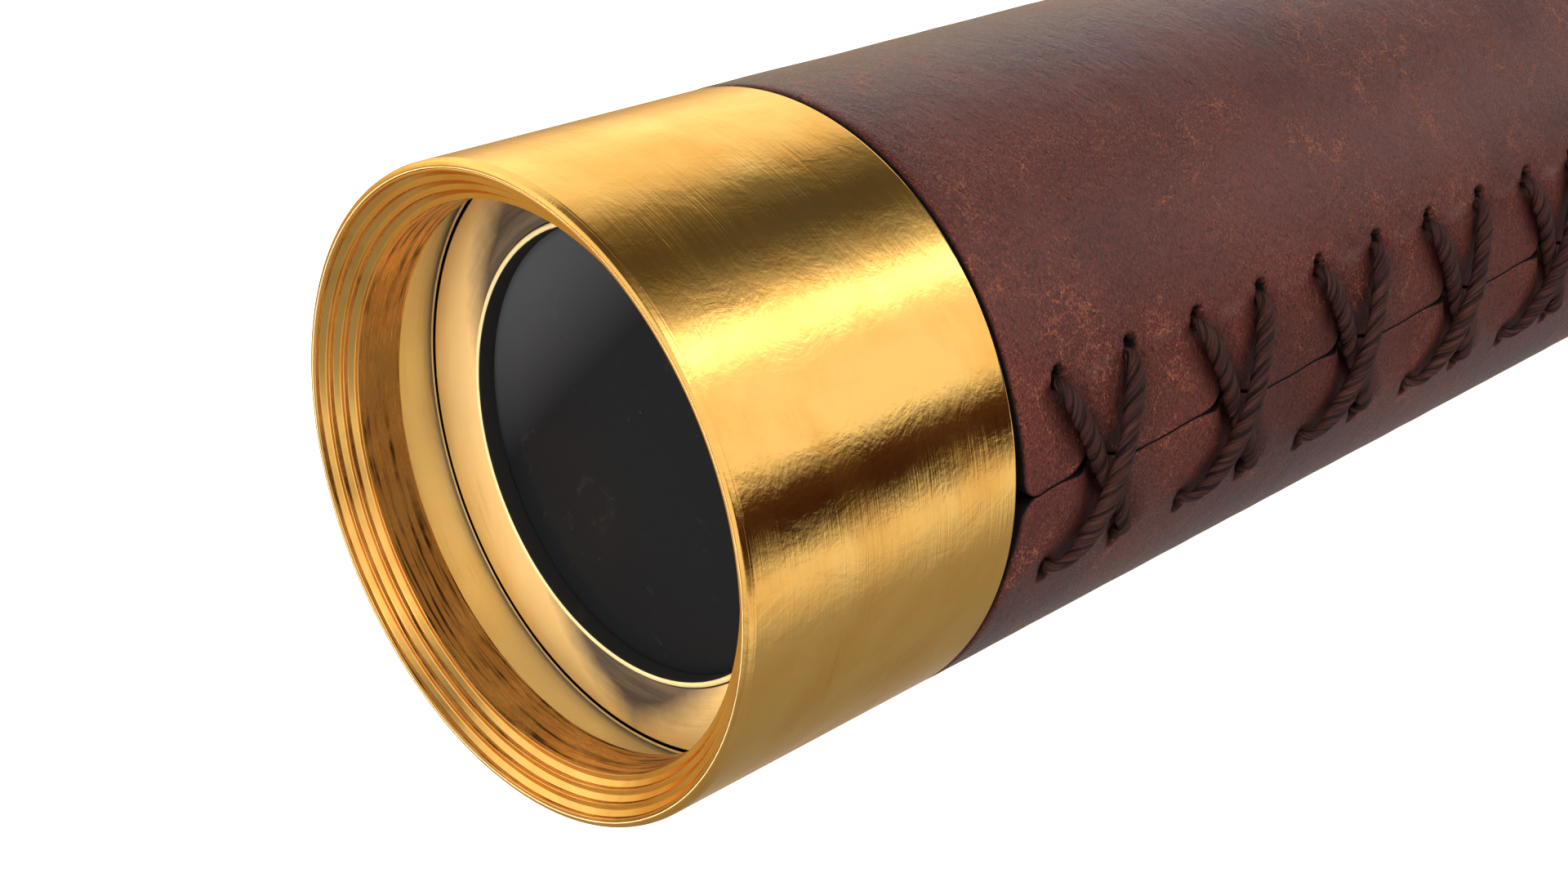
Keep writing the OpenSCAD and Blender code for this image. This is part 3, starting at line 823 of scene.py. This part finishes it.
def rear_ferrule():
    """A drum with a cove and a bead round its rear rim."""
    x0, x1, r = ends("rear_ferrule")
    socket_x, socket_r = ends("main_tube")[1] + FIT, TUBE_R + FIT
    bore = ends("draw_tube_1")[2] + SLIP
    cove = [(x1 - 3.6 * MM, r, 0.1 * MM), (x1 - 3.2 * MM, r - 0.7 * MM, 0.15 * MM),
            (x1 - 2.45 * MM, r - 0.7 * MM, 0.05 * MM)]
    turn("ferrule_rear", "rear_ferrule", [(x0, socket_r), (x0, r, 0.3 * MM)] + cove
         + bead_arc(x1 - BEAD_R, r - BEAD_R, BEAD_R, 150, 0)
         + [(x1, bore), (socket_x, bore), (socket_x, socket_r)])


def collar(name, node, tube, hole):
    """A draw's grip: a bead at each end and a milled band between two fine grooves."""
    x0, x1, r = ends(node)
    deep, plate, to_groove = 0.5 * MM, 4 * MM, 4.2 * MM
    foot = math.degrees(math.asin(1 - deep / BEAD_R))
    band_r = r - deep
    inner = ends(tube)[2] + FIT
    first, last = x0 + to_groove, x1 - to_groove
    points = [(x0, inner)] + bead_arc(x0 + BEAD_R, r - BEAD_R, BEAD_R, 180, foot)
    for x in (first, last):
        points += [(x - 0.45 * MM, band_r, 0.05 * MM), (x - 0.2 * MM, band_r - 0.3 * MM, 0.08 * MM),
                   (x + 0.2 * MM, band_r - 0.3 * MM, 0.08 * MM), (x + 0.45 * MM, band_r, 0.05 * MM)]
        if x == first:
            inset, stops = 0.7 * MM, 9
            points += [(first + inset + (last - first - 2 * inset) * k / stops, band_r, 0)
                       for k in range(stops + 1)]
    points += bead_arc(x1 - BEAD_R, r - BEAD_R, BEAD_R, 180 - foot, 0)
    points += [(x1, hole), (x1 - plate, hole), (x1 - plate, inner)]
    teeth = milled((x0 + x1) / 2, (last - first) / 2 - 0.6 * MM, TOOTH_DEPTH, TEETH)
    turn(name, node, points, segments=512, ripple=teeth)


def draws():
    rear_ferrule()
    for n in (1, 2, 3):
        x0, x1, r = ends(f"draw_tube_{n}")
        turn(f"draw_{n}_tube", f"draw_tube_{n}",
             [(x0, r - WALL), (x0, r, 0.2 * MM), (x1, r), (x1, r - WALL)])
    for n in (1, 2):
        hole = ends(f"draw_tube_{n + 1}")[2] + SLIP
        collar(f"draw_{n}_collar", f"draw_collar_{n}", f"draw_tube_{n}", hole)
    collar("eyepiece_grip", "eyepiece_collar", "draw_tube_3", ends("eyepiece_tube")[2] + FIT)


def eye_cap():
    """A cup over the eyepiece: a groove round its side, a rounded edge and an eye hole."""
    x0, x1, r = ends("eye_cap")
    hole, corner, face = 3.6 * MM, 1.4 * MM, 3.5 * MM
    skirt, flare = r - 3 * MM, 1 * MM
    groove = [(x0 + 2.3 * MM, r, 0.05 * MM), (x0 + 2.6 * MM, r - 0.35 * MM, 0.1 * MM),
              (x0 + 3.2 * MM, r - 0.35 * MM, 0.1 * MM), (x0 + 3.5 * MM, r, 0.05 * MM)]
    turn("eye_cup", "eye_cap", [(x0, skirt), (x0, r, 0.2 * MM)] + groove
         + bead_arc(x1 - corner, r - corner, corner, 90, 0)
         + [(x1, hole + flare, 0.2 * MM), (x1 - flare, hole, 0.2 * MM), (x1 - face, hole),
            (x1 - face, skirt)])


def plate_outline(disc_r, arm_r, reach, steps=48):
    """The shutter's outline in (y, z): a disc about the origin joined to a round lug at +Y."""
    neck = arm_r * 0.8
    disc_start = math.asin(neck / disc_r)
    lug_start = math.pi - math.asin(neck / arm_r)
    disc = [disc_start + (FULL_TURN - 2 * disc_start) * k / steps for k in range(steps + 1)]
    lug = [-lug_start + 2 * lug_start * k / steps for k in range(steps + 1)]
    points = [(disc_r * math.cos(a), disc_r * math.sin(a)) for a in disc]
    return points + [(reach + arm_r * math.cos(a), arm_r * math.sin(a)) for a in lug]


def shutter():
    """A flat plate with eased edges, and a shallow dish turned in its disc."""
    low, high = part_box("shutter")
    screw_low, screw_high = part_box("shutter_screw")
    pivot = (screw_low.y + screw_high.y) / 2
    disc_r = -low.y
    arm_r = high.y - pivot
    ease = 0.18 * MM
    dish_x = high.x - 0.08 * MM
    rings = [(low.x, ease), (low.x + ease, 0), (high.x - ease, 0), (high.x, ease), (high.x, 0.7 * MM),
             (dish_x, 0.9 * MM), (dish_x, 1.2 * MM)]
    verts, faces = [], []
    for x, inset in rings:
        verts += [(x, y, z) for y, z in plate_outline(disc_r - inset, arm_r - inset, pivot)]
    count = len(verts) // len(rings)
    for k in range(len(rings) - 1):
        for i in range(count):
            m = (i + 1) % count
            faces.append((k * count + i, k * count + m, (k + 1) * count + m, (k + 1) * count + i))
    faces.append(tuple(reversed(range(count))))
    faces.append(tuple(range((len(rings) - 1) * count, len(rings) * count)))
    finish_mesh("eye_shutter", verts, faces, materials["turned_brass"], BODY_OF["shutter"],
                ("shutter",), sharp=30)


def shutter_screw():
    """A round-headed screw with a cut slot."""
    low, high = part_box("shutter_screw")
    y = (low.y + high.y) / 2
    head_r = high.z
    shank_r = head_r / 2
    head_x = high.x - 0.8 * MM
    slot_half, slot_deep = 0.2 * MM, 0.45 * MM
    profile = [(low.x, 0), (low.x, shank_r), (head_x, shank_r), (head_x, head_r),
               (head_x + 0.2 * MM, head_r), (head_x + 0.55 * MM, head_r * 0.85),
               (high.x, head_r * 0.5), (high.x, 0)]
    verts, faces = revolve(rounded(profile, 0.08 * MM), 96)
    screw = finish_mesh("eye_shutter_screw", [(a, b + y, c) for a, b, c in verts], faces,
                        materials["screw_steel"], BODY_OF["shutter_screw"],
                        ("shutter_screw",), sharp=35)
    x0, x1, half = high.x - slot_deep, high.x + 1 * MM, head_r * 1.5
    corners = [(x, y + dy, dz) for x in (x0, x1) for dy in (-slot_half, slot_half) for dz in (-half, half)]
    box_faces = [(0, 1, 3, 2), (4, 6, 7, 5), (0, 4, 5, 1), (2, 3, 7, 6), (0, 2, 6, 4), (1, 5, 7, 3)]
    cutter_mesh = bpy.data.meshes.new("slot_cutter")
    cutter_mesh.from_pydata(corners, [], box_faces)
    cutter = add_object("slot_cutter", cutter_mesh)
    cut = screw.modifiers.new("slot", "BOOLEAN")
    cut.object = cutter
    cut.solver = "EXACT"
    baked = bpy.data.meshes.new_from_object(screw.evaluated_get(bpy.context.evaluated_depsgraph_get()))
    screw.modifiers.clear()
    screw.data = baked
    bpy.data.objects.remove(cutter)


def eyepiece_end():
    eye_cap()
    shutter()
    shutter_screw()
    lens("eyepiece_lens", "eye_lens", *EYE_LENS_CURVES)


# ---- the lace's route, shared by the leather and the lace ----

CROSSES = 9
LEATHER_R = BARREL_R
LEATHER_IN_R = TUBE_R + FIT

# Centre line of the two visible strands of a cross, in mm: distance behind the cross's front
# holes, distance round from the seam, and height over the leather's usual surface
UNDER_STRAND = ((0.2, 8.9, -1.4), (0.15, 8.55, -0.5), (0.15, 7.85, 0.42), (0.65, 6.4, 0.74),
                (1.8, 4.3, 0.68), (3.3, 1.9, 0.42), (5.0, -0.8, 0.0), (6.7, -3.2, 0.1),
                (8.0, -5.1, 0.35), (9.1, -7.1, 0.62), (9.85, -8.7, 0.62), (10.2, -9.8, -0.1),
                (10.3, -10.3, -1.4))
OVER_STRAND = ((0.3, -10.3, -1.4), (0.5, -10.1, -0.3), (1.1, -9.7, 0.50), (2.5, -8.7, 0.82),
               (3.7, -6.6, 1.05), (4.5, -3.7, 1.5), (5.25, -1.2, 1.82), (6.25, 0.9, 1.75),
               (7.5, 3.0, 1.3), (8.65, 5.1, 0.95), (9.4, 6.8, 0.66), (9.85, 7.9, 0.22),
               (10.1, 8.5, -0.5), (10.2, 8.9, -1.4))
HIDDEN_HEIGHT = -1.4


def cross_x(k):
    """x of the front holes of cross k."""
    return LEATHER_X0 + HOLE_MARGIN + 2 * k * HOLE_PITCH


def spline(points, per_span):
    """A smooth curve through all the points, per_span samples to each span."""
    p = np.array(points, float)
    p = np.vstack([2 * p[0] - p[1], p, 2 * p[-1] - p[-2]])
    t = (np.arange(per_span) / per_span)[:, None]
    spans = [0.5 * (2 * b + (c - a) * t + (2 * a - 5 * b + 4 * c - d) * t ** 2
                    + (3 * b - a - 3 * c + d) * t ** 3)
             for a, b, c, d in zip(p[:-3], p[1:-2], p[2:-1], p[3:])]
    return np.vstack(spans + [p[-2:-1]])


# ---- leather ----

def noise_field(xs, ss, size, seed):
    """Smooth noise over the leather, repeating round the barrel; size is in metres."""
    turns = ss / LEATHER_R
    at = np.stack([xs / size + seed, LEATHER_R * np.sin(turns) / size,
                   LEATHER_R * np.cos(turns) / size], -1)
    flat = at.reshape(-1, 3)
    return np.array([noise.noise(p) for p in flat]).reshape(xs.shape)


def bump_of(distance, width):
    return np.exp(-(distance / width) ** 2)


def smooth(t):
    t = np.clip(t, 0, 1)
    return t * t * (3 - 2 * t)


def seam_line(x):
    """Where the two edges of the leather meet, as a distance round from the seam's usual line."""
    phase = (x - cross_x(0) - 3.5 * MM) / (2 * HOLE_PITCH)
    return (-0.5 + 0.44 * np.cos(FULL_TURN * phase)) * MM


def seam_half_gap(x):
    """Half the width of the gap: it gapes before each crossing and is nearly shut after it."""
    lead = 2 * MM
    along = (np.mod(x - cross_x(0) + lead, 2 * HOLE_PITCH) - lead) / MM
    before = smooth((along + 1.6) / 5.0) ** 1.5 * (1 - smooth((along - 4.9) / 0.7))
    return (0.06 + 0.50 * before + 0.14 * bump_of(along - 8.4, 1.8)) * MM


STATIONS, BACK_ROWS, INNER_COLUMNS = 430, 94, 48   # fineness of the leather's mesh
END_GAP = 0.12 * MM                      # least gap between the leather and a ferrule


def leather_rows():
    """Distances round the leather from the seam for the rows of the mesh: fine near the
    holes and coarser round the back."""
    far = math.pi * LEATHER_R
    fine = np.concatenate([np.array([0, 0.1, 0.25, 0.45]), np.arange(0.75, 12.6, 0.33)]) * MM
    back = np.linspace(fine[-1], 2 * far - fine[-1], BACK_ROWS)[1:-1]
    return np.concatenate([fine, back, (2 * far - fine)[::-1]])


SWELLS = ((0.05 * MM, 14 * MM, 3.7), (0.035 * MM, 4 * MM, 9.1))    # (height, size, seed)
LACED_REACH = 16 * MM                    # how far from the seam the lace shapes the leather
GROOVE_WIDTH = 1.8 * MM                  # of the dent that a strand presses
HOLE_R, HOLE_EDGE, HOLE_DEPTH = 0.62 * MM, 0.28 * MM, 1.75 * MM
# DARK_R and DARK_EDGE size the painted shade around a hole
DARK_R, DARK_EDGE = 0.80 * MM, 0.34 * MM             # the dark around a hole


def leather_height(x, s):
    """Height of the leather over its usual surface, and painted shade from 0 to 1 in and around the lace
    holes and beside the strands; s is measured round from the seam, positive on the upper side."""
    height = sum(swell * noise_field(x, s, size, seed) for swell, size, seed in SWELLS)
    near = np.abs(s) < LACED_REACH
    xn, sn = x[near], s[near]
    lift, shaded = np.zeros(xn.shape), np.zeros(xn.shape)
    for k in range(CROSSES):
        close = np.abs(xn - cross_x(k) - HOLE_PITCH / 2) < 11 * MM
        xc, sc = xn[close], sn[close]
        part, pit, dark = (np.zeros(xc.shape) for _ in range(3))
        between = smooth((UPPER_ROW + 0.2 * MM - sc) / (1.6 * MM))
        between = between * smooth((sc - LOWER_ROW + 0.2 * MM) / (1.6 * MM))
        for strand, pull in ((UNDER_STRAND, 1.0), (OVER_STRAND, 0.75)):
            route = spline(strand[1:-1], 6) * MM
            route[:, 0] += cross_x(k)
            gaps = np.hypot(xc[:, None] - route[None, :, 0], sc[:, None] - route[None, :, 1])
            nearest = gaps.argmin(1)
            away = gaps.min(1)
            pressed = np.clip(1.05 * MM - route[nearest, 2], 0.25 * MM, 1.1 * MM) * pull
            part -= pressed * bump_of(away, GROOVE_WIDTH) * between
            part += 0.24 * MM * bump_of(away - 3.6 * MM, GROOVE_WIDTH) * between
            # painted shade beside each strand
            dark = np.maximum(dark, 0.62 * bump_of(away, 2.3 * MM) * between)
        for hole_x in (cross_x(k), cross_x(k) + HOLE_PITCH):
            for row in (UPPER_ROW, LOWER_ROW):
                away = np.hypot(xc - hole_x, (sc - row) * 0.85)
                pit = np.maximum(pit, 1 - smooth((away - HOLE_R) / HOLE_EDGE))
                # painted shade in and around the hole
                dark = np.maximum(dark, 1 - smooth((away - DARK_R) / DARK_EDGE))
        lift[close] += part - HOLE_DEPTH * pit
        shaded[close] = np.maximum(shaded[close], dark)
    height[near] += lift
    shade = np.zeros(x.shape)
    shade[near] = shaded
    return height, shade


def make_leather():
    """A closed sleeve, rolled round with its edges meeting at the laced seam."""
    rows = leather_rows()
    stations = np.linspace(0, 1, STATIONS)
    around = FULL_TURN * LEATHER_R
    s_flat = np.where(rows <= around / 2, rows, rows - around)
    x, s = np.meshgrid(LEATHER_X0 + (LEATHER_X1 - LEATHER_X0) * stations, s_flat, indexing="ij")
    from_edge = np.minimum(rows, around - rows)[None, :] * np.ones_like(x)
    upper = np.array([1.0] * (len(rows) // 2) + [-1.0] * (len(rows) - len(rows) // 2))[None, :]
    drawn_in = 7 * MM
    near_seam = 1 - smooth(from_edge / drawn_in)
    s = s + near_seam * (seam_line(x) + upper * seam_half_gap(x))

    corner = 2.0 * MM
    short = np.clip(corner - from_edge, 0, corner)
    recede = END_GAP + corner - np.sqrt(corner ** 2 - short ** 2) + 0.7 * MM * bump_of(from_edge, 6 * MM)
    for end, sign in ((LEATHER_X0, 1), (LEATHER_X1, -1)):
        from_end = np.abs(x - end)
        x = x + sign * recede * np.clip(1 - from_end / drawn_in, 0, 1) ** 2

    height, shade = leather_height(x, s)
    soft_edge = 0.5 * MM
    seam_drop = np.clip(1 - from_edge / soft_edge, 0, 1) ** 2.2 * 0.22 * MM
    end_reach = np.minimum(stations, 1 - stations)[:, None] * (LEATHER_X1 - LEATHER_X0)
    end_drop = np.clip(1 - end_reach / (0.8 * MM), 0, 1) ** 2.2 * 0.35 * MM
    radius = LEATHER_R + 0.02 * MM + height - seam_drop - end_drop
    radius = np.maximum(radius, LEATHER_IN_R + 0.25 * MM)

    angle = s / LEATHER_R
    outer = np.stack([x, -radius * np.cos(angle), radius * np.sin(angle)], -1)
    inner_cols = np.linspace(0, len(rows) - 1, INNER_COLUMNS).round().astype(int)
    inner_a = angle[:, inner_cols]
    inner = np.stack([x[:, inner_cols], -LEATHER_IN_R * np.cos(inner_a),
                      LEATHER_IN_R * np.sin(inner_a)], -1)

    many, few = len(rows), len(inner_cols)
    ring = many + few
    verts = np.concatenate([outer, inner[:, ::-1]], 1).reshape(-1, 3)
    faces = []
    count = len(stations)
    for i in range(count - 1):
        a, b = i * ring, (i + 1) * ring
        faces += [(a + j, a + (j + 1) % ring, b + (j + 1) % ring, b + j) for j in range(ring)]
    partner = np.searchsorted(inner_cols, np.arange(many))
    for i, flip in ((0, False), (count - 1, True)):
        base = i * ring
        under = [base + many + few - 1 - m for m in partner]
        for j in range(many - 1):
            face = [base + j, under[j], under[j + 1], base + j + 1]
            if under[j] == under[j + 1]:
                face.pop(1)
            faces.append(tuple(reversed(face)) if flip else tuple(face))
    leather = finish_mesh("leather_cover", verts.tolist(), faces, materials["brown_leather"], "barrel",
                          ("leather_sleeve",), sharp=60)
    flat = np.stack([x, s, np.zeros_like(x)], -1)
    store(leather, "flat", "FLOAT_VECTOR", np.concatenate([flat, flat[:, inner_cols][:, ::-1]], 1))
    # painted shade at the leather's ends, on the seam's edges and over its inside, kept in the depth
    # attribute
    shade = np.maximum(shade, smooth(1.2 - end_reach / (0.25 * MM)))
    shade = np.maximum(shade, (from_edge < 0.05 * MM) * 1.0)
    store(leather, "depth", "FLOAT", np.concatenate([shade, np.ones_like(shade[:, inner_cols])], 1))


def store(piece, name, kind, values):
    """Keeps a number or a vector for each vertex, for the material to read."""
    layer = piece.data.attributes.new(name, kind, "POINT")
    field = "vector" if kind == "FLOAT_VECTOR" else "value"
    layer.data.foreach_set(field, np.asarray(values, np.float32).ravel())


# ---- lace ----

LACE_R = 0.90 * MM
TWIST_PITCH = 6.4 * MM                   # length in which each of the three plies goes once round
STEP_SHOWN, STEP_HIDDEN = 0.24 * MM, 0.8 * MM      # between rings of the mesh
LACE_SIDES = 36


def lace_route():
    """The whole lace as (x, s, height): each cross runs down over the leather, back behind
    it, up over the first strand, and on behind the leather to the next cross."""
    points = [(cross_x(0) / MM - 4, 10.2, HIDDEN_HEIGHT)]
    for k in range(CROSSES):
        front = cross_x(k) / MM
        points += [(front + dx, s, h) for dx, s, h in UNDER_STRAND]
        points += [(front + dx, -10.75, HIDDEN_HEIGHT) for dx in (7, 3.5)]
        points += [(front + dx, s, h) for dx, s, h in OVER_STRAND]
        if k < CROSSES - 1:
            points += [(front + HOLE_PITCH / MM + dx, 10.2, HIDDEN_HEIGHT) for dx in (3.5, 7)]
    points.append((cross_x(CROSSES - 1) / MM + HOLE_PITCH / MM + 4, 10.2, HIDDEN_HEIGHT))
    return spline(points, 12) * MM


def make_lace():
    """A three-ply cord, swept along its route with the plies twisting round each other."""
    route = lace_route()
    radial = LEATHER_R + route[:, 2]
    angle = route[:, 1] / LEATHER_R
    centre = np.stack([route[:, 0], -radial * np.cos(angle), radial * np.sin(angle)], -1)
    step = np.linalg.norm(np.diff(centre, axis=0), axis=1)
    length = np.concatenate([[0], np.cumsum(step)])
    marks = [0.0]
    while marks[-1] < length[-1]:
        shown = np.interp(marks[-1], length, route[:, 2]) > -0.9 * MM
        marks.append(marks[-1] + (STEP_SHOWN if shown else STEP_HIDDEN))
    marks = np.array(marks[:-1])
    centre = np.stack([np.interp(marks, length, centre[:, c]) for c in range(3)], -1)
    angle = np.interp(marks, length, angle)

    way = np.gradient(centre, axis=0)
    way /= np.linalg.norm(way, axis=1)[:, None]
    out = np.stack([np.zeros_like(angle), -np.cos(angle), np.sin(angle)], -1)
    side = np.cross(out, way)
    side /= np.linalg.norm(side, axis=1)[:, None]
    up = np.cross(way, side)

    sides = LACE_SIDES
    twist = FULL_TURN * marks / TWIST_PITCH
    turn_angle = FULL_TURN * np.arange(sides) / sides
    ply = turn_angle[None, :] - twist[:, None]
    lobes = 0.86 + 0.14 * np.abs(np.cos(1.5 * ply)) ** 0.7
    from_hole = np.minimum(np.abs(angle * LEATHER_R - UPPER_ROW), np.abs(angle * LEATHER_R - LOWER_ROW))
    squeeze = 0.62 + 0.38 * smooth((from_hole - 0.4 * MM) / (3.2 * MM))
    wobble = 1 + 0.035 * np.sin(marks / (2.3 * MM)) + 0.02 * np.sin(marks / (0.9 * MM))
    reach = LACE_R * lobes * (squeeze * wobble)[:, None]
    spoke = (np.cos(turn_angle)[None, :, None] * side[:, None, :]
             + np.sin(turn_angle)[None, :, None] * up[:, None, :])
    verts = centre[:, None, :] + reach[..., None] * spoke
    count = len(marks)
    edges = [(j, (j + 1) % sides) for j in range(sides)]
    faces = [(a + j, a + m, a + sides + m, a + sides + j)
             for a in range(0, (count - 1) * sides, sides) for j, m in edges]
    faces.append(tuple(reversed(range(sides))))
    faces.append(tuple(range((count - 1) * sides, count * sides)))
    lace = finish_mesh("lace_cord", verts.reshape(-1, 3).tolist(), faces, materials["brown_lace"], "barrel",
                       ("seam_lace",), sharp=75)
    fibre = np.stack([np.cos(ply) * LACE_R, np.sin(ply) * LACE_R, marks[:, None] * np.ones_like(ply)], -1)
    store(lace, "fibre", "FLOAT_VECTOR", fibre)
    # painted shade: the groove attribute darkens the cord between its plies and where it sinks below the
    # leather
    over = np.hypot(verts[..., 1], verts[..., 2]) - LEATHER_R
    sunk = smooth((-0.15 * MM - over) / (0.5 * MM))
    store(lace, "groove", "FLOAT", np.maximum(1 - np.abs(np.cos(1.5 * ply)), sunk))


# ---- run ----

set_view()
make_camera()
make_world()
make_floor()
make_materials()
dress_frame()
objective_end()
make_leather()
make_lace()
draws()
eyepiece_end()
